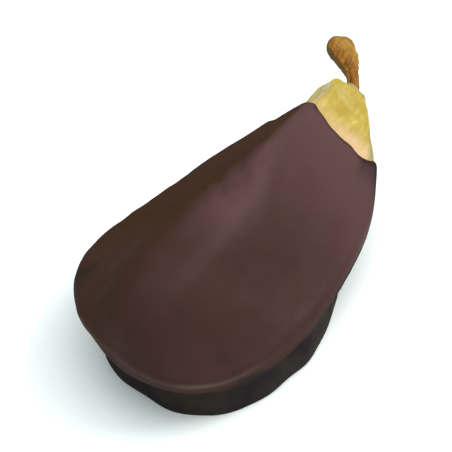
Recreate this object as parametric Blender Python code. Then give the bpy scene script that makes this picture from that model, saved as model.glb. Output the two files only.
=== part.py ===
"""One wedge of a small candied pear with its stem, dipped in dark chocolate that set in a foot under it.

The pear's axis runs along +Y toward the stem, +Z is up and the broad cut face looks to +X and up.
Dimensions are in millimetres until a mesh is made. Points of the wedge are measured from the axis at the
belly, the axis being the edge where the two cut faces meet.
"""
import math

import bmesh
import bpy
import numpy as np
from mathutils import Vector

MM = 0.001

# Driving dimensions
LENGTH = 71.5
BELLY_RADIUS = 28.2
COAT = 1.9
GAP = 0.3

# The whole pear's profile, s running from the blossom end to the stem end
BELLY_AT = 0.374 * LENGTH
TAIL_REACH = 0.812 * LENGTH
NOSE_REACH = 0.669 * LENGTH
TAIL_POWER = 2.58
NOSE_POWER = 1.825
TAIL_ROUND = 26.2
TAIL_CURVE = 2.5
NOSE_ROUND = 11.9
NOSE_CURVE = 3.2
END_CENTRE = 0.675
TAIL_SKEW = -0.17
SKEW_FADE = 32.0
NOSE_BEND = (-2.6, 0.25)
NOSE_BEND_FROM = 67.0
NOSE_SLANT = (0.3, -0.5)

# The wedge cut from it, and how it lies
HALF_ANGLE = math.radians(45)
LIP_ROUND = 1.2
RIDGE_ROUND = 1.5
CORE_ROUND = 9.0
CORE_FADE = (30.0, 48.0)
TAIL_ROLL = math.radians(12)
NOSE_ROLL = math.radians(-3.5)
PITCH = math.radians(-5)

# Where the coat ends, and how it thins out toward that edge
WATERLINE = 61.7
WATERLINE_WAVE = 1.9
FAR_RISE = 2.4
FAR_ANGLE = 4.95
NEAR_RISE = 0.9
NEAR_ANGLE = 1.3
EDGE_COAT = 0.9
THINNING = 14.0

# The foot of set chocolate, placed from the point under the belly
UNDER = 1.2
FOOT_CENTRE = (1.1, -3.9)
FOOT_RIGHT = 18.8
FOOT_LEFT = 19.0
FOOT_TAIL = 22.7
FOOT_NOSE = 26.7
FOOT_POWER = 2.1
FOOT_HEIGHT = 7.4
FOOT_RISE = 2.4
FOOT_RISE_TOWARD = math.radians(-50)

# The stem, placed from the axis at the belly
STEM_START = (0.8, 44.4, -9.0)
STEM_REACH = (-8.6, 10.0, 8.2)
STEM_CURL = 2.6
STEM_RADIUS = 1.2
KNOB_RADIUS = 3.1
KNOB_FLATNESS = 0.62
KNOB_FLARE = (0.55, 0.95)

# Mesh counts
RINGS = 30
FACE_STEPS = 6
ARC_STEPS = 6
FILLET_STEPS = 4
FOOT_STEPS = 48
STEM_SIDES = 14
STEM_RINGS = 14


def smooth(x, low, high):
    """Rises from 0 at low to 1 at high without a corner."""
    t = min(max((x - low) / (high - low), 0.0), 1.0)
    return t * t * (3 - 2 * t)


def rounded(x, power):
    """Height of a rounded end, 1 at x = 0 and 0 at x = 1."""
    return max(1 - abs(x) ** power, 0.0) ** (1 / power)


def pear_radius(s):
    """Radius of the whole pear at s."""
    if s < BELLY_AT:
        return BELLY_RADIUS * rounded((BELLY_AT - s) / TAIL_REACH, TAIL_POWER)
    return BELLY_RADIUS * rounded((s - BELLY_AT) / NOSE_REACH, NOSE_POWER)


def direction(angle):
    """Unit vector in the section, straight down at angle 0 and to +X at a quarter turn."""
    return np.array([math.sin(angle), -math.cos(angle)])


def section(radius, ridge_round):
    """Closed outline of the wedge's section with its ridge at the origin, running down the right side."""
    lip_round = min(LIP_ROUND, 0.25 * radius)
    ridge_round = min(ridge_round, 0.3 * radius)
    lip_angle = HALF_ANGLE - math.asin(lip_round / (radius - lip_round))
    ridge_centre = direction(0) * ridge_round / math.sin(HALF_ANGLE)
    lip_centre = direction(lip_angle) * (radius - lip_round)
    facing = HALF_ANGLE + math.pi / 2
    ridge = [ridge_centre + ridge_round * direction(angle)
             for angle in np.linspace(math.pi, facing, FILLET_STEPS)]
    lip = [lip_centre + lip_round * direction(angle)
           for angle in np.linspace(facing, lip_angle, FILLET_STEPS)]
    face = [ridge[-1] + (lip[0] - ridge[-1]) * t for t in np.linspace(0, 1, FACE_STEPS + 1)]
    skin = [radius * direction(angle) for angle in np.linspace(lip_angle, 0, ARC_STEPS + 1)]
    half = ridge[:-1] + face[:-1] + lip[:-1] + skin
    mirrored = [point * (-1, 1) for point in half[1:-1]]
    return np.array(half + mirrored[::-1])


def wedge_section(s):
    """The section at s, drawn in toward its middle near both ends and rolled about the axis."""
    s = min(max(s, 0.0), LENGTH)
    radius = max(pear_radius(s), 2.0)
    core = CORE_ROUND + (RIDGE_ROUND - CORE_ROUND) * smooth(s, *CORE_FADE)
    middle = np.array([0, -END_CENTRE * radius])
    shrink = 1.0
    if s < TAIL_ROUND:
        shrink = rounded(1 - s / TAIL_ROUND, TAIL_CURVE)
    if LENGTH - s < NOSE_ROUND:
        shrink = rounded(1 - (LENGTH - s) / NOSE_ROUND, NOSE_CURVE)
    outline = middle + shrink * (section(radius, core) - middle)
    roll = TAIL_ROLL + (NOSE_ROLL - TAIL_ROLL) * s / LENGTH
    x = outline[:, 0] * math.cos(roll) + outline[:, 1] * math.sin(roll)
    z = outline[:, 1] * math.cos(roll) - outline[:, 0] * math.sin(roll)
    bend = smooth(s, NOSE_BEND_FROM, LENGTH)
    skew = TAIL_SKEW * x * (1 - smooth(s, 0.0, SKEW_FADE))
    slant = (NOSE_SLANT[0] * x + NOSE_SLANT[1] * z) * bend
    return np.stack([x + NOSE_BEND[0] * bend, s - BELLY_AT + skew + slant, z + NOSE_BEND[1] * bend], axis=1)


def wedge_rings(growth, ends):
    """Rings of the wedge grown by growth(s) on every side, ending at ends for each point of the outline."""
    steps = (1 - np.cos(np.linspace(0, math.pi, RINGS))) / 2
    grid = np.array([[wedge_section(step * end)[i] for i, end in enumerate(ends)] for step in steps])
    thickness = np.array([[growth(step * end) for end in ends] for step in steps])
    along = np.gradient(grid, axis=0)
    around = np.roll(grid, -1, axis=1) - np.roll(grid, 1, axis=1)
    normals = np.cross(around, along)
    normals /= np.maximum(np.linalg.norm(normals, axis=2, keepdims=True), 1e-9)
    grown = grid + normals * thickness[:, :, None]
    tail = grid[0].mean(axis=0) - (0, thickness[0, 0], 0)
    nose = grid[-1].mean(axis=0) + (0, thickness[-1, 0], 0)
    closed_nose = min(ends) >= LENGTH
    return (grown[1:-1] if closed_nose else grown[1:]), tail, nose


def whole_length():
    """Ends of a wedge that runs the pear's whole length."""
    return [LENGTH] * len(section(BELLY_RADIUS, CORE_ROUND))


def waterline():
    """Where the coat ends at each point of the outline, wandering a little round the wedge."""
    angles = np.linspace(0, 2 * math.pi, len(whole_length()), endpoint=False)
    wave = np.sin(angles - 1.4) - 0.47 * np.sin(3 * angles - 1.5)
    far = FAR_RISE * ((1 + np.cos(angles - FAR_ANGLE)) / 2) ** 5
    near = NEAR_RISE * ((1 + np.cos(angles - NEAR_ANGLE)) / 2) ** 8
    return WATERLINE + WATERLINE_WAVE * wave + far + near


def coat_growth(s):
    """Thickness of the coat at s, thinner toward its edge."""
    return EDGE_COAT + (COAT - EDGE_COAT) * smooth(WATERLINE - s, 0.0, THINNING)


def foot_ring(angles, inset, heights):
    """One ring of the foot's lobed outline, drawn in by the inset."""
    ring = []
    for angle, height in zip(angles, heights):
        across = math.cos(angle)
        along = math.sin(angle)
        half_width = (FOOT_RIGHT if across > 0 else FOOT_LEFT) - inset
        half_length = (FOOT_NOSE if along > 0 else FOOT_TAIL) - inset
        reach = abs(across / half_width) ** FOOT_POWER + abs(along / half_length) ** FOOT_POWER
        lobes = 0.38 * math.sin(3 * angle + 0.95) + 0.78 * math.sin(4 * angle - 1.7)
        lobes += 0.56 * math.sin(5 * angle + 1.4)
        distance = reach ** (-1 / FOOT_POWER) + lobes
        ring.append((FOOT_CENTRE[0] + distance * across, FOOT_CENTRE[1] + distance * along, height))
    return ring


def foot_rings():
    """Rings of the foot from just under the floor up to its top inside the coat."""
    angles = np.linspace(0, 2 * math.pi, FOOT_STEPS, endpoint=False)
    heights = FOOT_HEIGHT + FOOT_RISE * np.cos(angles - FOOT_RISE_TOWARD)
    levels = ((0.0, 0.5), (0.12, 0.0), (0.35, 0.0), (0.6, 0.7), (0.82, 2.3), (1.0, 5.4))
    under_floor = foot_ring(angles, 0.9, np.full_like(angles, -1.0))
    return np.array([under_floor] + [foot_ring(angles, inset, level * heights) for level, inset in levels])


def stem_point(t):
    """The stem's middle line, leaving along the axis and then bending up and to the left."""
    return np.array(STEM_START) + np.array(STEM_REACH) * (max(t, 0.0) ** STEM_CURL, t, 0.55 * t + 0.45 * t * t)


def stem_rings(growth):
    """Rings and end points of the stem, which flares into a knob, grown on every side."""
    rings = []
    for t in np.linspace(0, 1, STEM_RINGS):
        heading = stem_point(t + 0.01) - stem_point(t - 0.01)
        heading /= np.linalg.norm(heading)
        side = np.cross(heading, (0, 0, 1))
        side /= np.linalg.norm(side)
        up = np.cross(side, heading)
        flare = smooth(t, *KNOB_FLARE)
        tip = rounded(max(t - 0.9, 0.0) / 0.105, 2.2)
        radius = (STEM_RADIUS + (KNOB_RADIUS - STEM_RADIUS) * flare) * tip + growth
        flatness = 1 - (1 - KNOB_FLATNESS) * flare
        angles = np.linspace(0, 2 * math.pi, STEM_SIDES, endpoint=False)
        rings.append([stem_point(t) + radius * (side * math.cos(angle) + up * flatness * math.sin(angle))
                      for angle in angles])
    start = stem_point(0) - (stem_point(0.01) - stem_point(0)) * growth / 0.08
    return np.array(rings), start, stem_point(1.02)


def material(name, colour, roughness):
    """Plain material of one colour, given in linear light."""
    made = bpy.data.materials.new(name)
    made.use_nodes = True
    shader = made.node_tree.nodes["Principled BSDF"]
    shader.inputs["Base Color"].default_value = (*colour, 1.0)
    shader.inputs["Roughness"].default_value = roughness
    shader.inputs["Metallic"].default_value = 0.0
    return made


def linked(name, data, parent):
    """Object of the data, in the scene and under its parent."""
    item = bpy.data.objects.new(name, data)
    bpy.context.scene.collection.objects.link(item)
    item.parent = parent
    return item


def lofted(name, parent, rings, first, last):
    """Mesh object that runs through the rings and is closed by a fan at each end."""
    bm = bmesh.new()
    loops = [[bm.verts.new(Vector(point) * MM) for point in ring] for ring in rings]
    for lower, upper in zip(loops, loops[1:]):
        for j in range(len(lower)):
            bm.faces.new((lower[j - 1], lower[j], upper[j], upper[j - 1]))
    for loop, point in ((loops[0], first), (loops[-1], last)):
        tip = bm.verts.new(Vector(point) * MM)
        for j in range(len(loop)):
            bm.faces.new((loop[j - 1], loop[j], tip))
    bmesh.ops.recalc_face_normals(bm, faces=bm.faces)
    mesh = bpy.data.meshes.new(name)
    bm.to_mesh(mesh)
    bm.free()
    mesh.shade_smooth()
    mesh.set_sharp_from_angle(angle=math.radians(38))
    return linked(name, mesh, parent)


def guide(item):
    """Marks an object that only shapes another one."""
    item.hide_render = True
    item.display_type = "WIRE"
    return item


def combine(item, other, operation):
    """Joins the other body to an object or takes it away."""
    modifier = item.modifiers.new(other.name, "BOOLEAN")
    modifier.operation = operation
    modifier.solver = "EXACT"
    modifier.object = guide(other)


def make_pear(wedge):
    """The candied flesh with its skin, hollowed where the stem goes in."""
    pear = lofted("pear", wedge, *wedge_rings(lambda s: 0.0, whole_length()))
    pear.data.materials.append(material("candied_flesh", (0.72, 0.62, 0.22), 0.4))
    combine(pear, lofted("stem_socket", wedge, *stem_rings(GAP)), "DIFFERENCE")
    return pear


def make_stem(wedge):
    """The woody stem."""
    stem = lofted("stem", wedge, *stem_rings(0.0))
    stem.data.materials.append(material("stem_wood", (0.33, 0.14, 0.03), 0.6))
    return stem


def make_coat(piece, wedge):
    """The chocolate, one body with its foot, trimmed flat at the floor and open at the neck."""
    coat = lofted("chocolate_coat", wedge, *wedge_rings(coat_growth, waterline()))
    coat.data.materials.append(material("dark_chocolate", (0.07, 0.04, 0.032), 0.35))
    rings = foot_rings()
    foot = lofted("foot", piece, rings, rings[0].mean(axis=0), rings[-1].mean(axis=0))
    cavity = lofted("cavity", wedge, *wedge_rings(lambda s: GAP, whole_length()))
    combine(coat, foot, "UNION")
    combine(coat, floor_block(piece), "DIFFERENCE")
    combine(coat, cavity, "DIFFERENCE")
    return coat


def floor_block(piece):
    """Block that fills the room under the floor."""
    bm = bmesh.new()
    bmesh.ops.create_cube(bm, size=2 * LENGTH * MM)
    mesh = bpy.data.meshes.new("floor_block")
    bm.to_mesh(mesh)
    bm.free()
    block = linked("floor_block", mesh, piece)
    block.location.z = -LENGTH * MM
    return block


def corners(items):
    """World positions of every corner of the finished pieces."""
    bpy.context.view_layer.update()
    graph = bpy.context.evaluated_depsgraph_get()
    points = []
    for item in items:
        finished = item.evaluated_get(graph)
        points += [finished.matrix_world @ vertex.co for vertex in finished.data.vertices]
    return np.array(points)


def build():
    """The pear, its stem and its coat, standing on the floor with the middle of their box at the origin."""
    for item in list(bpy.data.objects):
        bpy.data.objects.remove(item, do_unlink=True)
    piece = linked("piece", None, None)
    wedge = linked("wedge", None, piece)
    wedge.rotation_euler.x = PITCH
    pear = make_pear(wedge)
    wedge.location.z = UNDER * MM - corners([pear])[:, 2].min()
    stem = make_stem(wedge)
    coat = make_coat(piece, wedge)
    points = corners([pear, stem, coat])
    middle = (points.min(axis=0) + points.max(axis=0)) / 2
    piece.location = (-middle[0], -middle[1], 0.0)


build()
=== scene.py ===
"""Looks of a candied pear wedge dipped in dark chocolate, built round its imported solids.

Shapes are worked out in millimetres, measured from the pear's axis at the belly, and brought to the solids'
place and to metres when their mesh is finished.
"""

import math

import bpy
import numpy as np
from mathutils import Matrix, Vector, noise
from mathutils.bvhtree import BVHTree


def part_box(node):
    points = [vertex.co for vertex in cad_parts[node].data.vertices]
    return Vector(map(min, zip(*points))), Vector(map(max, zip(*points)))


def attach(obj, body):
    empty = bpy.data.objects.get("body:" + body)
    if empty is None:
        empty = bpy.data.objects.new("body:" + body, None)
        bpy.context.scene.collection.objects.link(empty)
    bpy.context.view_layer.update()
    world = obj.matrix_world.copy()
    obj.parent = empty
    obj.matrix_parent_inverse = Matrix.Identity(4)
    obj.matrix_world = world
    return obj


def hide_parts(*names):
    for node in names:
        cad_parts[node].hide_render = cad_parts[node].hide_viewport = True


MM = 0.001

# The pear's profile, s running from the blossom end to the stem end
LENGTH = 71.5
BELLY_RADIUS = 28.2
BELLY_AT = 0.374 * LENGTH
TAIL_REACH = 0.812 * LENGTH
NOSE_REACH = 0.669 * LENGTH
TAIL_POWER = 2.58
NOSE_POWER = 1.825
TAIL_ROUND = 26.2
TAIL_CURVE = 2.5
NOSE_ROUND = 11.9
NOSE_CURVE = 3.2
END_CENTRE = 0.675
TAIL_SKEW = -0.17
SKEW_FADE = 32.0
NOSE_BEND = (-2.6, 0.25)
NOSE_BEND_FROM = 67.0
NOSE_SLANT = (0.3, -0.5)
LEAST_RADIUS = 2.0

# The wedge cut from it
HALF_ANGLE = math.radians(45)
LIP_ROUND = 1.2
LIP_ROUND_SHARE = 0.25
RIDGE_ROUND = 1.5
RIDGE_ROUND_SHARE = 0.3
CORE_ROUND = 9.0
CORE_FADE = (30.0, 48.0)
TAIL_ROLL = math.radians(12)
NOSE_ROLL = math.radians(-3.5)
PITCH = math.radians(-5)
FACE_SAG = 0.45
SAG_POWER = 1.5
SAG_FADE = (3.0, 12.0)

# The chocolate, with the waves along its edge given by their height, count and phase
COAT = 1.9
EDGE_COAT = 0.8
EDGE_COAT_FAR = 1.5
FAR_FACE_ANGLE = 5.3
FAR_FACE_SHARPNESS = 8
THINNING = 14.0
WATERLINE = 61.7
WATERLINE_WAVE = 1.9
WAVE_SHAPE = ((1.0, 1, -1.4), (-0.47, 3, -1.5))
EDGE_STEPS = ((0.26, 7, 1.1), (0.20, 12, 0.4), (0.10, 23, 0.0))
FAR_RISE = 2.4
FAR_ANGLE = 4.95
FAR_SHARPNESS = 5
NEAR_RISE = 0.9
NEAR_ANGLE = 1.3
NEAR_SHARPNESS = 8
WET_BAND = 4.5
MENISCUS = 1.3
EDGE_DIVE = 0.5
LIP_BEAD = 0.3
LIP_BEAD_WIDTH = 1.5
RIDGE_THINNING = 0.35
RIDGE_THINNING_WIDTH = 3.0
CLINGING = 0.06
FILLET = 1.3
UNDER = 1.2

# The foot, placed from the point under the belly
FOOT_CENTRE = (1.1, -3.9)
FOOT_RIGHT = 18.8
FOOT_LEFT = 19.0
FOOT_TAIL = 22.7
FOOT_NOSE = 26.7
FOOT_POWER = 2.1
FOOT_HEIGHT = 7.4
FOOT_RISE = 2.4
FOOT_RISE_TOWARD = math.radians(-50)
FOOT_LOBES = ((0.38, 3, 0.95), (0.78, 4, -1.7), (0.56, 5, 1.4), (0.16, 8, 0.5), (0.12, 13, 1.7))
FOOT_BOTTOM = -0.35
FOOT_TUCK = 0.6
FOOT_SHOULDER = 5.4
FOOT_WALL = 0.32
FOOT_SHOULDER_POWER = 2.3
FOOT_TOP = (9.5, 11.0)

# The stem, placed from the axis at the belly
STEM_START = (0.8, 44.4, -9.0)
STEM_REACH = (-8.6, 10.0, 8.2)
STEM_CURL = 2.6
STEM_LIFT = (0.55, 0.45)
STEM_RIDGES = ((0.05, 5, 2.2), (0.035, 9, -3.0))
STEM_RADIUS = 1.2
KNOB_RADIUS = 3.1
KNOB_FLATNESS = 0.62
KNOB_FLARE = (0.55, 0.95)
KNOB_RIM = (0.10, 3, 1.0)
TIP_FROM = 0.9
TIP_LENGTH = 0.105
TIP_POWER = 2.2
SCAR_DEPTH = 0.35
SCAR_FROM = 0.985
# Share of the painted highlight on the knob's top
KNOB_HIGHLIGHT = 0.75
# Share of the painted shade on the knob's left
KNOB_SHADE = 0.7
STEM_LEAVES_AT = 0.28

# Relief, each layer given by its height, feature size, seed and stretch along the axes
EVENLY = (1.0, 1.0, 1.0)
FIBRES = ((0.10, 0.55, 4, (1, 6, 1)), (0.12, 1.8, 5, (1, 2.5, 1)))
WRINKLES = (0.16, 2.6, 6, (0.6, 2, 0.6))
BARK = ((0.10, 0.9, 1, (1, 3, 3)), (0.06, 0.45, 2, EVENLY))
SWELLS = ((0.30, 11.0, 8, EVENLY), (0.10, 4.0, 9, EVENLY), (0.035, 1.6, 10, EVENLY))
RUNS = (0.12, 3.0, 11, (1, 1, 5))
GRIT = 0.05
GRIT_SIZE = 0.32
GRIT_SEED = 7
LENTICEL = 0.30
LENTICEL_SIZE = 0.7
LENTICEL_SEED = 3
LENTICEL_FROM = 0.35
FLESH_SINK = 0.08
SKIN_FROM = (0.83, 0.93)
DIMPLE = 0.5
DIMPLE_WIDTH = 0.55
DIMPLE_RIM = 0.30
DIMPLE_RIM_WIDTH = 0.7
SEED_STEP = 17.3
EVENING_OUT = 0.6

# Mesh counts and sizes
STATIONS = 400
FACE_STEPS = 44
ARC_STEPS = 36
FILLET_STEPS = 9
PEAR_RINGS = 280
COAT_RINGS = 200
FOOT_STEPS = 256
FOOT_RINGS = 54
STEM_SIDES = 72
STEM_RINGS = 90
VOXEL = 0.36

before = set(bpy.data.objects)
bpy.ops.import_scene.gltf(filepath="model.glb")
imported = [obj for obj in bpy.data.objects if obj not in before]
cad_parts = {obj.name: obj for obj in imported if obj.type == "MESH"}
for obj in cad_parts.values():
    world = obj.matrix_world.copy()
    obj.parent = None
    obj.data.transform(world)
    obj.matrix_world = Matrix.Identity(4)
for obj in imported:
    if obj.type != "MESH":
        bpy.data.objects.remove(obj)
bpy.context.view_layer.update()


def smooth(x, low, high):
    """Rises from 0 at low to 1 at high without a corner."""
    t = np.clip((x - low) / (high - low), 0.0, 1.0)
    return t * t * (3 - 2 * t)


def bump_at(x, middle, width):
    """Soft hump of height 1 round the middle."""
    return np.exp(-((x - middle) / width) ** 2)


def rounded(x, power):
    """Height of a rounded end, 1 at x = 0 and 0 at x = 1."""
    return np.maximum(1 - np.abs(x) ** power, 0.0) ** (1 / power)


def waves(angles, terms):
    """Sum of sine waves round an outline, each with its height, count and phase."""
    return sum(height * np.sin(count * angles + phase) for height, count, phase in terms)


def roll_at(s):
    """How far the wedge is rolled at each s."""
    return TAIL_ROLL + (NOSE_ROLL - TAIL_ROLL) * s / LENGTH


def pear_radius(s):
    """Radius of the whole pear at each s."""
    tail = BELLY_RADIUS * rounded(np.maximum(BELLY_AT - s, 0) / TAIL_REACH, TAIL_POWER)
    nose = BELLY_RADIUS * rounded(np.maximum(s - BELLY_AT, 0) / NOSE_REACH, NOSE_POWER)
    return np.maximum(np.where(s < BELLY_AT, tail, nose), LEAST_RADIUS)


def arc(centre_x, centre_z, radius, start, stop, count):
    """Points on an arc for every station, angle 0 being straight down."""
    angle = start + (stop - start) * np.linspace(0, 1, count)
    return centre_x + radius * np.sin(angle), centre_z - radius * np.cos(angle)


def half_section(radius, ridge_round):
    """Right half of the wedge's outline at every station, from the ridge to the lowest point of the skin."""
    lip_round = np.minimum(LIP_ROUND, LIP_ROUND_SHARE * radius)
    ridge_round = np.minimum(ridge_round, RIDGE_ROUND_SHARE * radius)
    lip_angle = HALF_ANGLE - np.arcsin(lip_round / (radius - lip_round))
    facing = HALF_ANGLE + math.pi / 2
    lip_x = (radius - lip_round) * np.sin(lip_angle)
    lip_z = -(radius - lip_round) * np.cos(lip_angle)
    ridge = arc(0.0, -ridge_round / math.sin(HALF_ANGLE), ridge_round, math.pi, facing, FILLET_STEPS)
    lip = arc(lip_x, lip_z, lip_round, facing, lip_angle, FILLET_STEPS)
    skin = arc(0.0, 0.0, radius, lip_angle, 0.0, ARC_STEPS + 1)
    along = np.linspace(0, 1, FACE_STEPS + 1)
    sag = FACE_SAG * smooth(radius, *SAG_FADE) * np.sin(math.pi * along) ** SAG_POWER
    face = [ridge[k][:, -1:] + (lip[k][:, :1] - ridge[k][:, -1:]) * along for k in (0, 1)]
    face[0] = face[0] - sag * math.cos(HALF_ANGLE)
    face[1] = face[1] - sag * math.sin(HALF_ANGLE)
    parts = (ridge, face, lip)
    return [np.concatenate([part[k][:, :-1] for part in parts] + [skin[k]], axis=1) for k in (0, 1)]


def wedge_table():
    """Outline of the wedge at closely spaced stations, as an array of station, point and coordinate."""
    s = LENGTH * (1 - np.cos(np.linspace(0, math.pi, STATIONS + 1))[:, None]) / 2
    radius = pear_radius(s)
    core = CORE_ROUND + (RIDGE_ROUND - CORE_ROUND) * smooth(s, *CORE_FADE)
    half_x, half_z = half_section(radius, core)
    outline_x = np.concatenate([half_x, -half_x[:, -2:0:-1]], axis=1)
    outline_z = np.concatenate([half_z, half_z[:, -2:0:-1]], axis=1)
    shrink = rounded(np.maximum(1 - s / TAIL_ROUND, 0), TAIL_CURVE)
    shrink = shrink * rounded(np.maximum(1 - (LENGTH - s) / NOSE_ROUND, 0), NOSE_CURVE)
    middle = -END_CENTRE * radius
    outline_x = outline_x * shrink
    outline_z = middle + (outline_z - middle) * shrink
    roll = roll_at(s)
    x = outline_x * np.cos(roll) + outline_z * np.sin(roll)
    z = outline_z * np.cos(roll) - outline_x * np.sin(roll)
    bend = smooth(s, NOSE_BEND_FROM, LENGTH)
    y = s - BELLY_AT + TAIL_SKEW * x * (1 - smooth(s, 0.0, SKEW_FADE))
    y = y + (NOSE_SLANT[0] * x + NOSE_SLANT[1] * z) * bend
    return np.stack([x + NOSE_BEND[0] * bend, y, z + NOSE_BEND[1] * bend], axis=2)


TABLE = wedge_table()
OUTLINE = TABLE.shape[1]
RIDGE_INDEX = 0
LIP_INDEX = FILLET_STEPS - 1 + FACE_STEPS + FILLET_STEPS // 2


def wedge_at(s):
    """Points of the wedge for an array of stations by outline points, each at its own s."""
    place = STATIONS * np.arccos(np.clip(1 - 2 * s / LENGTH, -1, 1)) / math.pi
    low = np.minimum(place.astype(int), STATIONS - 1)
    part = (place - low)[:, :, None]
    column = np.broadcast_to(np.arange(OUTLINE), s.shape)
    return TABLE[low, column] * (1 - part) + TABLE[low + 1, column] * part


def grown(grid, growth):
    """The grid moved outward by growth at each point."""
    along = np.gradient(grid, axis=0)
    around = np.roll(grid, -1, axis=1) - np.roll(grid, 1, axis=1)
    normals = np.cross(around, along)
    normals /= np.maximum(np.linalg.norm(normals, axis=2, keepdims=True), 1e-9)
    return grid + normals * growth[:, :, None]


def stations(ends, rings):
    """Stations from the blossom end to the end of each outline point, closer at both ends."""
    steps = (1 - np.cos(np.linspace(0, math.pi, rings))) / 2
    return steps[:, None] * ends[None, :]


def tipped(points):
    """Points tipped so that the stem end sinks."""
    y, z = points[..., 1], points[..., 2]
    return np.stack([points[..., 0], y * math.cos(PITCH) - z * math.sin(PITCH),
                     y * math.sin(PITCH) + z * math.cos(PITCH)], axis=-1)


def untipped(points):
    """Points brought back to the pear's own axis."""
    y, z = points[..., 1], points[..., 2]
    return np.stack([points[..., 0], y * math.cos(PITCH) + z * math.sin(PITCH),
                     z * math.cos(PITCH) - y * math.sin(PITCH)], axis=-1)


def to_floor():
    """Shift from the tipped wedge to the solids' place, from the box of the pear's solid."""
    low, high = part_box("pear")
    shape = tipped(TABLE).reshape(-1, 3)
    middle = (shape.min(axis=0) + shape.max(axis=0)) / 2
    shift = np.array((low + high) / 2) / MM - middle
    shift[2] = low.z / MM - shape[:, 2].min()
    return shift


SHIFT = to_floor()


def loft(rings, first, last):
    """Closed mesh through the rings, with a fan at each end."""
    count = rings.shape[1]
    points = np.concatenate([[first], rings.reshape(-1, 3), [last]])
    j = np.arange(count)
    following = (j + 1) % count
    quads = []
    for i in range(len(rings) - 1):
        here = 1 + i * count
        above = here + count
        quads.append(np.stack([here + j, here + following, above + following, above + j], axis=1))
    top = 1 + (len(rings) - 1) * count
    faces = np.concatenate(quads).tolist()
    faces += np.stack([following + 1, j + 1, np.zeros_like(j)], axis=1).tolist()
    faces += np.stack([top + j, top + following, np.full_like(j, len(points) - 1)], axis=1).tolist()
    mesh = bpy.data.meshes.new("shape")
    mesh.from_pydata(points.tolist(), [], faces)
    if volume_of(mesh) < 0:
        mesh.flip_normals()
    return mesh


def corners_of(mesh):
    """Vertex positions as an array."""
    flat = np.empty(len(mesh.vertices) * 3)
    mesh.vertices.foreach_get("co", flat)
    return flat.reshape(-1, 3)


def move_corners(mesh, points):
    """Puts the vertices at new positions."""
    mesh.vertices.foreach_set("co", points.ravel())
    mesh.update()


def volume_of(mesh):
    """Volume of a closed mesh, below zero where its faces look inward."""
    mesh.calc_loop_triangles()
    index = np.empty(len(mesh.loop_triangles) * 3, dtype=np.int32)
    mesh.loop_triangles.foreach_get("vertices", index)
    a, b, c = corners_of(mesh)[index.reshape(-1, 3)].transpose(1, 0, 2)
    return np.einsum("ij,ij->i", a, np.cross(b, c)).sum() / 6


def shaped(mesh, kind, **settings):
    """The mesh after one modifier."""
    item = bpy.data.objects.new("working", mesh)
    bpy.context.scene.collection.objects.link(item)
    modifier = item.modifiers.new("working", kind)
    for name, value in settings.items():
        setattr(modifier, name, value)
    graph = bpy.context.evaluated_depsgraph_get()
    made = bpy.data.meshes.new_from_object(item.evaluated_get(graph))
    bpy.data.objects.remove(item)
    return made


def without(mesh, cutter_mesh):
    """The mesh with the cutter's body taken out of it."""
    cutter = bpy.data.objects.new("cutter", cutter_mesh)
    bpy.context.scene.collection.objects.link(cutter)
    made = shaped(mesh, "BOOLEAN", operation="DIFFERENCE", solver="MANIFOLD", object=cutter)
    bpy.data.objects.remove(cutter)
    return made


def joined(*meshes):
    """One mesh of several bodies."""
    points = []
    faces = []
    for mesh in meshes:
        start = len(points)
        points += corners_of(mesh).tolist()
        faces += [[start + i for i in face.vertices] for face in mesh.polygons]
    made = bpy.data.meshes.new("joined")
    made.from_pydata(points, [], faces)
    return made


def relaxed(mesh, rounds):
    """Evens out the surface."""
    edges = np.empty(len(mesh.edges) * 2, dtype=np.int32)
    mesh.edges.foreach_get("vertices", edges)
    a, b = edges.reshape(-1, 2).T
    points = corners_of(mesh)
    ends = np.concatenate([a, b])
    others = np.concatenate([b, a])
    degree = np.maximum(np.bincount(ends, minlength=len(points)), 1)[:, None]
    for _ in range(rounds):
        total = np.stack([np.bincount(ends, points[others, k], len(points)) for k in range(3)], axis=1)
        points = points + EVENING_OUT * (total / degree - points)
    move_corners(mesh, points)


def normals_of(mesh):
    """Vertex normals as an array."""
    flat = np.empty(len(mesh.vertices) * 3)
    mesh.vertex_normals.foreach_get("vector", flat)
    return flat.reshape(-1, 3)


def rough(points, size, seed, stretch=EVENLY):
    """Smooth noise between about -1 and 1 at each point, with features of the size in millimetres."""
    scaled = points / (np.array(stretch) * size) + seed * SEED_STEP
    return np.array([noise.noise(Vector(p)) for p in scaled.tolist()])


def layered(points, *layers):
    """Sum of several layers of relief."""
    return sum(height * rough(points, size, seed, stretch) for height, size, seed, stretch in layers)


def finished(name, mesh, node):
    """The mesh as a piece in the solids' place, standing for its node."""
    mesh.transform(Matrix.Scale(MM, 4) @ Matrix.Translation(SHIFT))
    mesh.shade_smooth()
    item = bpy.data.objects.new(name, mesh)
    bpy.context.scene.collection.objects.link(item)
    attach(item, "root")
    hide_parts(node)
    return item


# The pear

def outline_distance(index):
    """Distance along the wedge's surface from one outline point to the others at each station."""
    steps = np.linalg.norm(np.diff(TABLE, axis=1, append=TABLE[:, :1]), axis=2)
    travelled = np.concatenate([np.zeros((len(TABLE), 1)), np.cumsum(steps, axis=1)], axis=1)
    total = travelled[:, -1:]
    apart = np.abs(travelled[:, :-1] - travelled[:, index:index + 1])
    return np.minimum(apart, total - apart)


def at_stations(values, s):
    """Values of a table by station and outline point, read at each point's own s."""
    place = STATIONS * np.arccos(np.clip(1 - 2 * s / LENGTH, -1, 1)) / math.pi
    low = np.rint(place).astype(int)
    return values[low, np.broadcast_to(np.arange(OUTLINE), s.shape)]


def whole_wedge(growth):
    """Mesh of the whole wedge grown on every side."""
    s = stations(np.full(OUTLINE, LENGTH), PEAR_RINGS)
    grid = grown(wedge_at(s), np.full(s.shape, growth))
    first = grid[0].mean(axis=0) - (0, growth, 0)
    last = grid[-1].mean(axis=0) + (0, growth, 0)
    return loft(tipped(grid[1:-1]), tipped(first), tipped(last))


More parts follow.
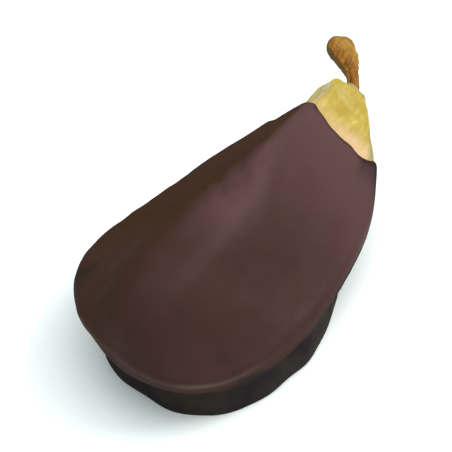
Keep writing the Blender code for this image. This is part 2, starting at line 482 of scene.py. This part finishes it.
def stem_point(t):
    """The stem's middle line, leaving along the axis and then bending up and to the left."""
    share = (max(t, 0.0) ** STEM_CURL, t, STEM_LIFT[0] * t + STEM_LIFT[1] * t * t)
    return np.array(STEM_START) + np.array(STEM_REACH) * share


def stem_mesh(growth, detail):
    """Mesh of the stem, flaring into its knob; detail is 1 for bark and 0 for a plain body."""
    rings = []
    angles = np.linspace(0, 2 * math.pi, STEM_SIDES, endpoint=False)
    for t in np.linspace(0, 1, STEM_RINGS):
        heading = stem_point(t + 0.01) - stem_point(t - 0.01)
        heading /= np.linalg.norm(heading)
        side = np.cross(heading, (0, 0, 1))
        side /= np.linalg.norm(side)
        up = np.cross(side, heading)
        flare = smooth(t, *KNOB_FLARE)
        tip = rounded(max(t - TIP_FROM, 0.0) / TIP_LENGTH, TIP_POWER)
        flatness = 1 - (1 - KNOB_FLATNESS) * flare
        ridges = waves(angles, [(height, count, twist * t) for height, count, twist in STEM_RIDGES])
        rim = flare * waves(angles, (KNOB_RIM,))
        plain = (STEM_RADIUS + (KNOB_RADIUS - STEM_RADIUS) * flare) * tip
        radius = plain * (1 + detail * (ridges + rim)) + growth
        spread = np.outer(radius * np.cos(angles), side) + np.outer(radius * flatness * np.sin(angles), up)
        rings.append(stem_point(t) + spread)
    start = stem_point(0) - (stem_point(0.01) - stem_point(0)) * growth / 0.08
    return loft(tipped(np.array(rings)), tipped(start), tipped(stem_point(1.0 + 0.02 * growth)))


def make_stem():
    """The woody stem with bark ridges and a knob with a painted highlight on top and painted shade on its
    left.
    """
    mesh = stem_mesh(0.0, 1.0)
    points = corners_of(mesh)
    own = untipped(points)
    t = np.clip((own[:, 1] - STEM_START[1]) / STEM_REACH[1], 0, 1)
    lenticels = LENTICEL * np.maximum(rough(points, LENTICEL_SIZE, LENTICEL_SEED) - LENTICEL_FROM, 0)
    relief = layered(points, *BARK) + lenticels - SCAR_DEPTH * smooth(t, SCAR_FROM, 1.0)
    move_corners(mesh, points + normals_of(mesh) * relief[:, None])
    paint_stem(mesh)
    return finished("pear_stem", mesh, "stem")


def paint_stem(mesh):
    """Keeps where the knob gets a painted highlight, on top, and painted shade, on its left."""
    facing = normals_of(mesh)
    share = (untipped(corners_of(mesh))[:, 1] - STEM_START[1]) / STEM_REACH[1]
    # Painted highlight where the knob faces up and toward the lamps
    painted_highlight = smooth(share, 0.6, 1.0) * smooth(facing @ (0.8, 0.0, 1.0), 0.9, 1.25)
    # Painted shade where the knob faces away from the key lamp
    dark = smooth(share, 0.35, 0.65) * smooth(facing @ (-0.81, -0.59, 0.0), 0.0, 0.6)
    paint_share(mesh, "painted_highlight", KNOB_HIGHLIGHT * painted_highlight)
    paint_share(mesh, "dark", KNOB_SHADE * dark)


def make_pear():
    """The candied flesh: fibrous cut faces, a wrinkled skin behind them and a dimple round the stem."""
    mesh = whole_wedge(0.0)
    points = corners_of(mesh)
    own = untipped(points)
    bare = smooth(own[:, 1] + BELLY_AT, WATERLINE - 6, WATERLINE - 1)
    wrinkles = layered(own, WRINKLES) * skin_share(own)
    grit = GRIT * np.maximum(rough(own, GRIT_SIZE, GRIT_SEED), 0)
    base = np.linalg.norm(own - stem_point(STEM_LEAVES_AT), axis=1)
    rim = DIMPLE_RIM * bump_at(base, STEM_RADIUS + 1.0, DIMPLE_RIM_WIDTH)
    dimple = DIMPLE * bump_at(base, STEM_RADIUS, DIMPLE_WIDTH)
    relief = (layered(own, *FIBRES) + wrinkles + grit + rim - dimple - FLESH_SINK) * bare
    move_corners(mesh, points + normals_of(mesh) * relief[:, None])
    mesh = without(mesh, stem_mesh(CLINGING, 0.0))
    own = untipped(corners_of(mesh))
    paint_share(mesh, "skin", skin_share(own))
    # Flesh paler and pinker toward the coat's edge, more on the near cut face
    near_edge = smooth(WET_BAND + edge_distance(own), 0.0, 4.0)
    paint_share(mesh, "edge_tint", near_edge * (0.35 + 0.65 * smooth(own[:, 0], 1.5, 7.0)))
    return finished("candied_pear", mesh, "pear")


def skin_share(own):
    """1 on the pear's skin and 0 on its cut faces, from how far a point lies from the axis."""
    s = own[:, 1] + BELLY_AT
    bend = smooth(s, NOSE_BEND_FROM, LENGTH)
    s = s - (NOSE_SLANT[0] * own[:, 0] + NOSE_SLANT[1] * own[:, 2]) * bend
    x = own[:, 0] - NOSE_BEND[0] * bend
    z = own[:, 2] - NOSE_BEND[1] * bend
    shrink = np.maximum(rounded(np.maximum(1 - (LENGTH - s) / NOSE_ROUND, 0), NOSE_CURVE), 0.3)
    radius = pear_radius(s)
    middle = -END_CENTRE * radius
    away = np.hypot(x / shrink, middle + (z - middle) / shrink)
    return smooth(away / radius, *SKIN_FROM)


def paint_share(mesh, name, values):
    """Keeps a value for each vertex that the mesh's material reads."""
    attribute = mesh.attributes.new(name, "FLOAT", "POINT")
    attribute.data.foreach_set("value", values.astype(np.float32))


# The chocolate

def outline_angles():
    """Angle that counts off ridge, face, lip and skin round the outline, as the solids' own source does."""
    corners = np.cumsum([0, FILLET_STEPS - 1, FACE_STEPS, FILLET_STEPS - 1, ARC_STEPS])
    half = np.interp(np.arange(corners[-1] + 1), corners, np.radians([0, 30, 90, 120, 180]))
    return np.concatenate([half, 2 * math.pi - half[-2:0:-1]])


def hump_round(angle, sharpness):
    """Soft hump of height 1 round one angle of the outline."""
    return ((1 + np.cos(outline_angles() - angle)) / 2) ** sharpness


def waterline():
    """Where the coat ends at each point of the outline, in a smooth wave with small uneven steps."""
    angles = outline_angles()
    wave = WATERLINE_WAVE * waves(angles, WAVE_SHAPE) + waves(angles, EDGE_STEPS)
    far = FAR_RISE * hump_round(FAR_ANGLE, FAR_SHARPNESS)
    near = NEAR_RISE * hump_round(NEAR_ANGLE, NEAR_SHARPNESS)
    return WATERLINE + wave + far + near


def coat_mesh():
    """Closed body inside the coat's outer surface, which dives under the flesh along the waterline."""
    ends = waterline()
    s = stations(ends, COAT_RINGS)
    to_edge = ends[None, :] - s
    lip = np.minimum(outline_distance(LIP_INDEX), outline_distance(OUTLINE - LIP_INDEX))
    ridge = outline_distance(RIDGE_INDEX)
    on_lip = bump_at(at_stations(lip, s), 0.0, LIP_BEAD_WIDTH)
    on_ridge = bump_at(at_stations(ridge, s), 0.0, RIDGE_THINNING_WIDTH)
    edge_coat = EDGE_COAT + (EDGE_COAT_FAR - EDGE_COAT) * hump_round(FAR_FACE_ANGLE, FAR_FACE_SHARPNESS)
    thickness = edge_coat + (COAT - edge_coat) * smooth(to_edge, 0.0, THINNING)
    thickness = thickness + LIP_BEAD * on_lip * smooth(to_edge, 2, 20)
    thickness = thickness - RIDGE_THINNING * on_ridge * smooth(to_edge, 0, 6)
    inward = 1 - np.clip(to_edge / MENISCUS, 0, 1)
    growth = thickness * np.sqrt(1 - inward ** 2) - EDGE_DIVE * inward ** 2
    grid = grown(wedge_at(s), growth)
    first = grid[0].mean(axis=0) - (0, COAT, 0)
    return loft(tipped(grid[1:]), tipped(first), tipped(grid[-1].mean(axis=0)))


def foot_mesh(floor):
    """Closed body of the foot, with a rounded upper edge and a lobed outline."""
    angles = np.linspace(0, 2 * math.pi, FOOT_STEPS, endpoint=False)
    across = np.cos(angles)
    along = np.sin(angles)
    heights = FOOT_HEIGHT + FOOT_RISE * np.cos(angles - FOOT_RISE_TOWARD)
    rings = []
    for level in np.linspace(FOOT_BOTTOM, 1, FOOT_RINGS):
        shoulder = 1 - rounded(max(level - FOOT_WALL, 0) / (1 - FOOT_WALL), FOOT_SHOULDER_POWER)
        inset = FOOT_SHOULDER * shoulder + FOOT_TUCK * (1 - smooth(level, 0.0, 0.12))
        half_width = np.where(across > 0, FOOT_RIGHT, FOOT_LEFT) - inset
        half_length = np.where(along > 0, FOOT_NOSE, FOOT_TAIL) - inset
        reach = np.abs(across / half_width) ** FOOT_POWER + np.abs(along / half_length) ** FOOT_POWER
        distance = reach ** (-1 / FOOT_POWER) + waves(angles, FOOT_LOBES)
        rings.append(np.stack([FOOT_CENTRE[0] + distance * across, FOOT_CENTRE[1] + distance * along,
                               floor + level * heights], axis=1))
    rings = np.array(rings)
    return loft(rings, rings[0].mean(axis=0), rings[-1].mean(axis=0))


def floor_block(floor):
    """Block that fills the room under the floor."""
    reach = 2 * LENGTH
    square = np.array([(-reach, -reach), (reach, -reach), (reach, reach), (-reach, reach)])
    rings = np.array([np.column_stack([square, np.full(4, height)]) for height in (floor - reach, floor)])
    return loft(rings, rings[0].mean(axis=0), rings[1].mean(axis=0))


def edge_distance(own):
    """Distance along the pear from each point to the coat's edge on its side of the outline."""
    ends = waterline()
    ring = wedge_at(ends[None, :])[0]
    middle = ring.mean(axis=0)
    ring_angle = np.arctan2(ring[:, 2] - middle[2], ring[:, 0] - middle[0])
    order = np.argsort(ring_angle)
    angle = np.arctan2(own[:, 2] - middle[2], own[:, 0] - middle[0])
    return np.interp(angle, ring_angle[order], ring[order, 1], period=2 * math.pi) - own[:, 1]


def beyond(points, body):
    """How far each point stands from the body's surface."""
    corners = corners_of(body).tolist()
    tree = BVHTree.FromPolygons(corners, [tuple(face.vertices) for face in body.polygons])
    return np.array([tree.find_nearest(Vector(point))[3] for point in points.tolist()])


def below_lip(own):
    """1 on the skin's side of the coat and 0 above its lips, fading out toward the blossom end."""
    s = np.clip(own[:, 1] + BELLY_AT, 0.0, LENGTH)
    roll = roll_at(s)
    x = own[:, 0] * np.cos(roll) - own[:, 2] * np.sin(roll)
    z = own[:, 2] * np.cos(roll) + own[:, 0] * np.sin(roll)
    rise = math.radians(2.5) * smooth(s, 28.0, 42.0)
    below = 1 - smooth(np.abs(np.arctan2(x, -z)) - HALF_ANGLE - rise, math.radians(-0.8), math.radians(1.4))
    return below * smooth(np.hypot(x, z) / pear_radius(s), 0.7, 0.8) * smooth(s, 5.0, 14.0)


def unevenness(mesh, floor):
    """Swells and faint runs that stand out of the chocolate at each of its points."""
    points = corners_of(mesh)
    height = points[:, 2] - floor
    to_edge = WATERLINE - (untipped(points)[:, 1] + BELLY_AT)
    relief = layered(points, *SWELLS) + layered(points, RUNS) * smooth(height, 2, 9)
    relief = relief * smooth(height, 0.2, 2.0) * smooth(to_edge, 0.5, 18.0)
    return normals_of(mesh) * relief[:, None]


def remeshed(mesh):
    """The mesh's outside as even small faces."""
    return shaped(mesh, "REMESH", mode="VOXEL", voxel_size=VOXEL, adaptivity=0.0)


def run_together(bodies):
    """The bodies as one, with the corners between them filled by growing it and shrinking it back."""
    mesh = remeshed(bodies)
    move_corners(mesh, corners_of(mesh) + normals_of(mesh) * FILLET)
    mesh = remeshed(mesh)
    relaxed(mesh, 3)
    move_corners(mesh, corners_of(mesh) - normals_of(mesh) * FILLET)
    mesh = remeshed(mesh)
    relaxed(mesh, 4)
    return mesh


def make_coat():
    """The chocolate: a dipped coat with a bead along its lips, run together with its foot."""
    floor = tipped(TABLE)[..., 2].min() - UNDER
    dipped = coat_mesh()
    mesh = run_together(joined(dipped, foot_mesh(floor)))
    move_corners(mesh, corners_of(mesh) + unevenness(mesh, floor))
    mesh = without(mesh, floor_block(floor))
    mesh = without(mesh, whole_wedge(CLINGING))
    paint_coat(mesh, dipped, floor)
    return finished("chocolate_shell", mesh, "chocolate_coat")


def paint_coat(mesh, dipped, floor):
    """Keeps the shares by which the chocolate's colour changes over its surface, painted highlights and
    shade among them.
    """
    points = corners_of(mesh)
    facing = normals_of(mesh)
    own = untipped(points)
    s = np.clip(own[:, 1] + BELLY_AT, 0.0, LENGTH)
    roll = roll_at(s)
    across = facing[:, 0] * np.cos(roll) - facing[:, 2] * np.sin(roll)
    # Painted highlight: a pale band along the lip where it faces the front
    turned = bump_at(facing[:, 2], 0.10, 0.14) * smooth(points[:, 2] - floor, 8.0, 11.0)
    front = smooth(-facing[:, 1], -0.6, 0.1) * (0.3 + 0.7 * smooth(facing[:, 0], 0.40, 0.75))
    # Painted highlight along the near side of the ridge
    ridge = bump_at(across, 0.14, 0.36) * smooth(s, 14.0, 30.0) * smooth(facing[:, 2], 0.3, 0.6)
    even = points - unevenness(mesh, floor)
    on_foot = smooth(beyond(even, dipped), 0.20, 0.65) * (1 - smooth(even[:, 2] - floor, *FOOT_TOP))
    paint_share(mesh, "edge", 0.85 * (1 - smooth(edge_distance(own), 0.5, 1.9)))
    paint_share(mesh, "painted_highlight", 0.32 * turned * front)
    # Painted shade on the far face, which also gets less gloss
    paint_share(mesh, "far", smooth(-across, 0.15, 0.5) * (0.4 + 0.6 * smooth(s, 4.0, 26.0)))
    # Painted shade under the lips and on the foot
    paint_share(mesh, "under", np.maximum(below_lip(own), on_foot))
    # Painted light: lighter toward the stem end, with the painted highlight along the ridge
    paint_share(mesh, "painted_light", np.maximum(smooth(s, 26.0, WATERLINE), ridge))


# Materials

# Colours as linear red, green and blue
CHOCOLATE = ((0.037, 0.0160, 0.0135), (0.046, 0.0205, 0.0175))
# Painted light: lighter tone toward the stem end and along the ridge
CHOCOLATE_PAINTED_LIGHT = ((0.074, 0.0350, 0.0360), (0.088, 0.0430, 0.0440))
# Painted shade on the far face, turned from the light
CHOCOLATE_FAR_SHADE = (0.042, 0.0195, 0.0085)
CHOCOLATE_HAZE = (0.066, 0.032, 0.028)
# Painted shade under the lips and on the foot
CHOCOLATE_UNDER_SHADE = ((0.0110, 0.0070, 0.0100), (0.020, 0.0145, 0.0100))
CHOCOLATE_EDGE = (0.028, 0.009, 0.004)
# Painted highlight along the chocolate's lip
CHOCOLATE_HIGHLIGHT = (0.22, 0.17, 0.13)
FLESH_DEEP = (0.34, 0.235, 0.020)
FLESH_MIDDLE = (0.42, 0.32, 0.045)
FLESH_PALE = (0.54, 0.45, 0.17)
FLESH_PATCH = (0.34, 0.235, 0.010)
# Flesh paler and pinker toward the coat's edge
FLESH_EDGE_TINT = (0.54, 0.36, 0.18)
SKIN = ((0.19, 0.165, 0.050), (0.30, 0.26, 0.090))
SKIN_SPOT = (0.14, 0.11, 0.035)
WOOD_DEEP = (0.085, 0.030, 0.002)
WOOD_MIDDLE = (0.24, 0.090, 0.004)
WOOD_PALE = (0.36, 0.160, 0.012)
WOOD_SPECK = (0.38, 0.25, 0.04)
# Painted highlight on the knob's top
WOOD_HIGHLIGHT = (0.36, 0.23, 0.035)
# Painted shade on the knob's left
WOOD_SHADE = (0.085, 0.055, 0.010)
TABLE_WHITE = ((0.90, 0.96, 0.95), (0.92, 0.98, 0.97))


class Painter:
    """Adds nodes to a new material, whose Principled shader is ready."""

    def __init__(self, name):
        self.material = bpy.data.materials.new(name)
        self.material.use_nodes = True
        self.tree = self.material.node_tree
        self.shader = self.tree.nodes["Principled BSDF"]
        self.place = self.tree.nodes.new("ShaderNodeTexCoord").outputs["Object"]

    def node(self, kind, inputs, **settings):
        """One node with its settings and inputs, each a value or another node's output."""
        made = self.tree.nodes.new(kind)
        for name, value in settings.items():
            setattr(made, name, value)
        for name, value in inputs.items():
            self.feed(made.inputs[name], value)
        return made

    def feed(self, socket, value):
        """Links an output to a socket, or sets its number."""
        if isinstance(value, bpy.types.NodeSocket):
            self.tree.links.new(value, socket)
        else:
            socket.default_value = value

    def stretched(self, scale):
        """The object's coordinates, scaled along each axis."""
        return self.node("ShaderNodeMapping", {"Vector": self.place, "Scale": scale}).outputs["Vector"]

    def noise(self, size, detail=4.0, roughness=0.55, vector=None):
        """Noise with features of the size in millimetres."""
        inputs = {"Vector": vector or self.place, "Scale": 1 / (size * MM)}
        inputs.update({"Detail": detail, "Roughness": roughness})
        return self.node("ShaderNodeTexNoise", inputs).outputs["Fac"]

    def ramp(self, value, *stops):
        """Colours at the stops, each a position and a colour."""
        made = self.node("ShaderNodeValToRGB", {"Fac": value})
        elements = made.color_ramp.elements
        while len(elements) < len(stops):
            elements.new(0.5)
        for element, (position, colour) in zip(elements, stops):
            element.position = position
            element.color = (*colour, 1.0)
        return made.outputs["Color"]

    def span(self, value, low, high, out_low=0.0, out_high=1.0):
        """The value moved from one range to another and kept inside it."""
        inputs = {"Value": value, "From Min": low, "From Max": high, "To Min": out_low, "To Max": out_high}
        return self.node("ShaderNodeMapRange", inputs).outputs["Result"]

    def over(self, first, share, second):
        """The second colour over the first by share; it is a colour or another node's output."""
        made = self.tree.nodes.new("ShaderNodeMix")
        made.data_type = "RGBA"
        self.feed(made.inputs[0], share)
        self.feed(made.inputs[6], first)
        self.feed(made.inputs[7], (*second, 1.0) if isinstance(second, tuple) else second)
        return made.outputs[2]

    def math(self, operation, first, second):
        """One operation on two values."""
        made = self.tree.nodes.new("ShaderNodeMath")
        made.operation = operation
        self.feed(made.inputs[0], first)
        self.feed(made.inputs[1], second)
        return made.outputs[0]

    def bump(self, height, distance, strength, under=None):
        """Bump of that height in millimetres over another bump."""
        inputs = {"Height": height, "Distance": distance * MM, "Strength": strength}
        if under is not None:
            inputs["Normal"] = under
        return self.node("ShaderNodeBump", inputs).outputs["Normal"]

    def attribute(self, name):
        """A value kept on the mesh."""
        return self.node("ShaderNodeAttribute", {}, attribute_name=name).outputs["Fac"]

    def finish(self, **inputs):
        """Feeds the shader and returns the material."""
        for name, value in inputs.items():
            self.feed(self.shader.inputs[name.replace("_", " ")], value)
        return self.material


def chocolate_material():
    """Set dark chocolate: satin, with faint clouding, fine pits and a slightly uneven sheen, and with
    painted light and shade.
    """
    paint = Painter("dark_chocolate_finish")
    cloud = paint.noise(10.0)
    base = paint.ramp(cloud, (0.32, CHOCOLATE[0]), (0.68, CHOCOLATE[1]))
    # Painted light: the lighter colour toward the stem end and along the ridge
    painted_light = paint.ramp(cloud, (0.32, CHOCOLATE_PAINTED_LIGHT[0]), (0.68, CHOCOLATE_PAINTED_LIGHT[1]))
    haze = paint.span(paint.noise(2.6, 6.0, 0.7), 0.50, 0.76, 0.0, 0.25)
    # Painted shade: the dark colour under the lips and on the foot
    foot = paint.ramp(paint.noise(7.0, 3.0, 0.5), (0.38, CHOCOLATE_UNDER_SHADE[0]), (0.62, CHOCOLATE_UNDER_SHADE[1]))
    far = paint.attribute("far")
    # Painted light toward the stem end and along the ridge
    colour = paint.over(base, paint.attribute("painted_light"), painted_light)
    # Painted shade on the far face
    colour = paint.over(colour, paint.math("MULTIPLY", far, 0.8), CHOCOLATE_FAR_SHADE)
    colour = paint.over(colour, haze, CHOCOLATE_HAZE)
    # Painted shade under the lips and on the foot
    colour = paint.over(colour, paint.attribute("under"), foot)
    colour = paint.over(colour, paint.attribute("edge"), CHOCOLATE_EDGE)
    # Painted highlight along the lip
    colour = paint.over(colour, paint.attribute("painted_highlight"), CHOCOLATE_HIGHLIGHT)
    gloss = paint.span(paint.noise(5.0, 4.0, 0.6), 0.35, 0.68, 0.20, 0.12)
    gloss = paint.math("MULTIPLY", gloss, paint.span(far, 0.0, 1.0, 1.0, 0.15))
    normal = paint.bump(paint.noise(1.3), 0.035, 0.45)
    normal = paint.bump(pits(paint), 0.10, 0.45, normal)
    normal = paint.bump(paint.noise(0.25, 3.0, 0.5), 0.010, 0.4, normal)
    paint.shader.inputs["Specular IOR Level"].default_value = 0.0
    paint.shader.inputs["Coat Roughness"].default_value = 0.45
    paint.shader.inputs["Coat IOR"].default_value = 1.47
    paint.shader.inputs["Roughness"].default_value = 0.6
    return paint.finish(Base_Color=colour, Coat_Weight=gloss, Normal=normal, Coat_Normal=normal)


def pits(paint):
    """Height of a surface with small round pits in a few places, 0 in a pit and 1 elsewhere."""
    inputs = {"Vector": paint.place, "Scale": 1 / (1.9 * MM), "Randomness": 1.0}
    cells = paint.node("ShaderNodeTexVoronoi", inputs).outputs["Distance"]
    places = paint.span(paint.noise(6.0, 2.0), 0.56, 0.64)
    return paint.math("MAXIMUM", paint.span(cells, 0.03, 0.11), paint.math("SUBTRACT", 1.0, places))


def flesh_material():
    """Candied flesh, pale to amber yellow and slightly see-through, with greenish skin at its back."""
    paint = Painter("candied_flesh_finish")
    fibres = paint.noise(0.8, 6.0, 0.65, paint.stretched((1.0, 0.18, 1.0)))
    patches = paint.span(paint.noise(4.0, 3.0, 0.5), 0.42, 0.60, 0.0, 0.8)
    spots = paint.span(paint.noise(0.9, 3.0, 0.6), 0.60, 0.70, 0.0, 0.7)
    skin = paint.ramp(paint.noise(3.0, 5.0, 0.6), (0.35, SKIN[0]), (0.65, SKIN[1]))
    flesh = paint.ramp(fibres, (0.32, FLESH_DEEP), (0.55, FLESH_MIDDLE), (0.72, FLESH_PALE))
    flesh = paint.over(flesh, patches, FLESH_PATCH)
    # Flesh paler and pinker toward the coat's edge
    flesh = paint.over(flesh, paint.attribute("edge_tint"), FLESH_EDGE_TINT)
    colour = paint.over(flesh, paint.attribute("skin"), paint.over(skin, spots, SKIN_SPOT))
    roughness = paint.span(paint.noise(1.6, 4.0, 0.6), 0.35, 0.7, 0.30, 0.52)
    normal = paint.bump(fibres, 0.10, 0.55)
    normal = paint.bump(paint.noise(0.25, 3.0, 0.6), 0.03, 0.5, normal)
    paint.shader.inputs["Subsurface Weight"].default_value = 0.3
    paint.shader.inputs["Subsurface Radius"].default_value = (0.0030, 0.0020, 0.0008)
    paint.shader.inputs["Subsurface Scale"].default_value = 0.6
    paint.shader.inputs["Specular IOR Level"].default_value = 0.3
    paint.shader.inputs["Coat Weight"].default_value = 0.05
    paint.shader.inputs["Coat Roughness"].default_value = 0.25
    return paint.finish(Base_Color=colour, Roughness=roughness, Normal=normal)


def stem_material():
    """Dry woody stem: orange brown, darker in its furrows, with painted shade on the knob's left and a
    painted highlight on its top.
    """
    paint = Painter("stem_wood_finish")
    grain = paint.noise(0.5, 6.0, 0.65, paint.stretched((1.0, 0.25, 0.4)))
    specks = paint.span(paint.noise(0.45, 2.0), 0.62, 0.70, 0.0, 0.7)
    # Painted highlight on the knob's top
    painted_highlight = paint.math("MULTIPLY", paint.attribute("painted_highlight"), paint.span(paint.noise(1.6, 3.0), 0.30, 0.6))
    colour = paint.ramp(grain, (0.30, WOOD_DEEP), (0.52, WOOD_MIDDLE), (0.75, WOOD_PALE))
    colour = paint.over(colour, specks, WOOD_SPECK)
    colour = paint.over(colour, painted_highlight, WOOD_HIGHLIGHT)
    # Painted shade on the knob's left
    colour = paint.over(colour, paint.attribute("dark"), WOOD_SHADE)
    normal = paint.bump(grain, 0.08, 0.8)
    normal = paint.bump(paint.noise(0.15, 2.0), 0.02, 0.5, normal)
    paint.shader.inputs["Specular IOR Level"].default_value = 0.25
    paint.shader.inputs["Roughness"].default_value = 0.7
    return paint.finish(Base_Color=colour, Normal=normal)


def floor_material():
    """Plain white table."""
    paint = Painter("white_table")
    tone = paint.ramp(paint.noise(60.0, 2.0), (0.3, TABLE_WHITE[0]), (0.7, TABLE_WHITE[1]))
    paint.shader.inputs["Roughness"].default_value = 0.6
    return paint.finish(Base_Color=tone)


# Studio

FLOOR_SIZE = 3.0
LAMP_DISTANCE = 0.9
KEY_AZIMUTH = math.radians(136)
KEY_ELEVATION = math.radians(47)
KEY_SIZE = 0.5
KEY_POWER = 4.0
KEY_COLOUR = (1.0, 0.985, 0.96)
TOP_AZIMUTH = math.radians(60)
TOP_ELEVATION = math.radians(82)
TOP_SIZE = 0.9
TOP_POWER = 3.4
TOP_COLOUR = (1.0, 1.0, 1.0)
BRIGHT_SIDE = (0.62, 0.62, 0.48)
SURROUND_DIM = (0.50, 0.61, 0.60)
SURROUND_BRIGHT = (1.0, 1.0, 1.0)
SURROUND_SPAN = (-0.8, 0.9)
SURROUND_STRENGTH = 1.0
CAMERA_AIM = (-1.4, 3.9, -10.6)
CAMERA_AZIMUTH = math.radians(36.0)
CAMERA_ELEVATION = math.radians(44.5)
CAMERA_ROLL = math.radians(5.14)
CAMERA_DISTANCE = 476.0
CAMERA_LENS = 205.9
CAMERA_SENSOR = 36.0


def make_floor():
    """White table, seen as far as the backdrop goes."""
    mesh = bpy.data.meshes.new("table_top")
    half = FLOOR_SIZE / 2
    corners = [(-half, -half, 0), (half, -half, 0), (half, half, 0), (-half, half, 0)]
    mesh.from_pydata(corners, [], [(0, 1, 2, 3)])
    table = bpy.data.objects.new("table_top", mesh)
    mesh.materials.append(floor_material())
    bpy.context.scene.collection.objects.link(table)


def towards(azimuth, elevation, distance):
    """Point at that bearing from the aim, azimuth 0 being in front at -Y."""
    flat = math.cos(elevation) * distance
    return Vector((math.sin(azimuth) * flat, -math.cos(azimuth) * flat, math.sin(elevation) * distance))


def lamp(name, azimuth, elevation, size, power, colour):
    """Soft square lamp that looks at the piece."""
    light = bpy.data.lights.new(name, "AREA")
    light.size = size
    light.energy = power
    light.color = colour
    item = bpy.data.objects.new(name, light)
    bpy.context.scene.collection.objects.link(item)
    item.location = towards(azimuth, elevation, LAMP_DISTANCE)
    item.rotation_euler = (-item.location).to_track_quat("-Z", "Y").to_euler()


def make_light():
    """Bright pale studio: a large soft key from the back right, a soft top light and a surround."""
    lamp("key", KEY_AZIMUTH, KEY_ELEVATION, KEY_SIZE, KEY_POWER, KEY_COLOUR)
    lamp("top", TOP_AZIMUTH, TOP_ELEVATION, TOP_SIZE, TOP_POWER, TOP_COLOUR)
    make_surround()


def make_surround():
    """Even light from all round, dimmer at the left."""
    world = bpy.data.worlds.new("surround")
    world.use_nodes = True
    nodes = world.node_tree.nodes
    links = world.node_tree.links
    place = nodes.new("ShaderNodeTexCoord")
    toward = nodes.new("ShaderNodeVectorMath")
    toward.operation = "DOT_PRODUCT"
    toward.inputs[1].default_value = BRIGHT_SIDE
    shade = nodes.new("ShaderNodeValToRGB")
    shade.color_ramp.elements[0].color = (*SURROUND_DIM, 1.0)
    shade.color_ramp.elements[1].color = (*SURROUND_BRIGHT, 1.0)
    span = nodes.new("ShaderNodeMapRange")
    span.inputs["From Min"].default_value = SURROUND_SPAN[0]
    span.inputs["From Max"].default_value = SURROUND_SPAN[1]
    links.new(place.outputs["Generated"], toward.inputs[0])
    links.new(toward.outputs["Value"], span.inputs["Value"])
    links.new(span.outputs["Result"], shade.inputs["Fac"])
    links.new(shade.outputs["Color"], nodes["Background"].inputs["Color"])
    nodes["Background"].inputs["Strength"].default_value = SURROUND_STRENGTH
    bpy.context.scene.world = world


def make_camera():
    """Camera at the photograph's angle, with its slight tilt."""
    data = bpy.data.cameras.new("camera")
    data.lens = CAMERA_LENS
    data.sensor_width = CAMERA_SENSOR
    item = bpy.data.objects.new("camera", data)
    bpy.context.scene.collection.objects.link(item)
    aim = Vector(CAMERA_AIM + SHIFT) * MM
    back = towards(CAMERA_AZIMUTH, CAMERA_ELEVATION, CAMERA_DISTANCE * MM)
    item.location = aim + back
    turn = (-back).to_track_quat("-Z", "Y").to_matrix() @ Matrix.Rotation(-CAMERA_ROLL, 3, "Z")
    item.rotation_euler = turn.to_euler()
    bpy.context.scene.camera = item


make_camera()
make_light()
make_floor()
bpy.context.scene.view_settings.view_transform = "Standard"

pieces = ((make_pear, flesh_material), (make_stem, stem_material), (make_coat, chocolate_material))
for make_piece, make_material in pieces:
    piece = make_piece()
    piece.data.materials.clear()
    piece.data.materials.append(make_material())
